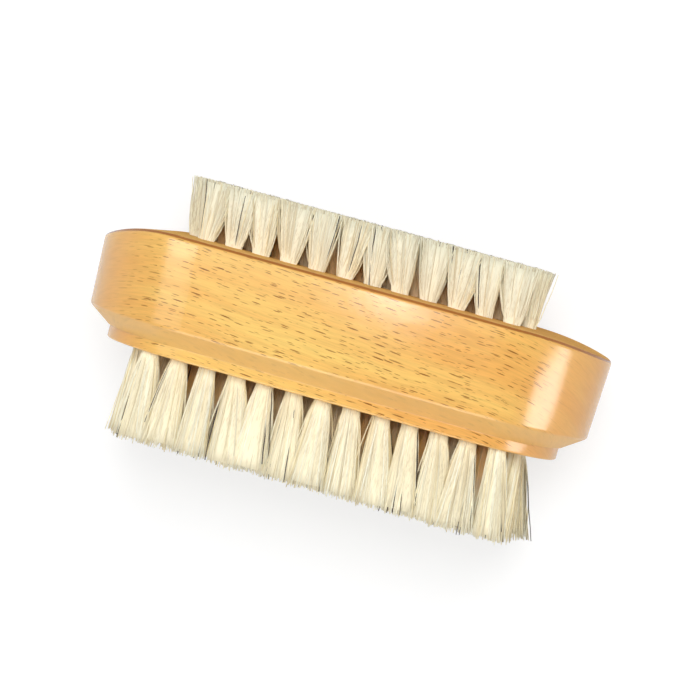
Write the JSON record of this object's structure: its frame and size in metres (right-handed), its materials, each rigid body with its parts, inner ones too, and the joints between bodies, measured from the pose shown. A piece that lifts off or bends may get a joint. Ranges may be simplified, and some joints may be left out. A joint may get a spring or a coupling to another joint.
{
  "type": "nail brush",
  "caption": "Two-faced nail brush: an oval wooden block with short natural bristle tufts on one face and longer ones on a stepped plinth on the other.",
  "frame": {"origin": "on the surface that the brush lies on, under the middle of its bounding box", "axes": "+X along the block's length, +Y from the long bristles to the short ones, +Z across the block's width, up from the long side that it lies on"},
  "size_m": [0.0947, 0.048, 0.04],
  "materials": {
    "lacquered_beech": "satin lacquer",
    "natural_bristle": "trimmed natural bristle",
    "anchor_wire": "flat wire"
  },
  "bodies": {
    "root": {"wooden_block": "lacquered_beech", "lower_tufts_row_1": "natural_bristle", "lower_tufts_row_2": "natural_bristle", "lower_tufts_row_3": "natural_bristle", "lower_tufts_row_4": "natural_bristle", "lower_tufts_row_5": "natural_bristle", "upper_tufts_row_1": "natural_bristle", "upper_tufts_row_2": "natural_bristle", "upper_tufts_row_3": "natural_bristle", "lower_anchors_row_1": "anchor_wire", "lower_anchors_row_2": "anchor_wire", "lower_anchors_row_3": "anchor_wire", "lower_anchors_row_4": "anchor_wire", "lower_anchors_row_5": "anchor_wire", "upper_anchors_row_1": "anchor_wire", "upper_anchors_row_2": "anchor_wire", "upper_anchors_row_3": "anchor_wire"}
  },
  "joints": []
}
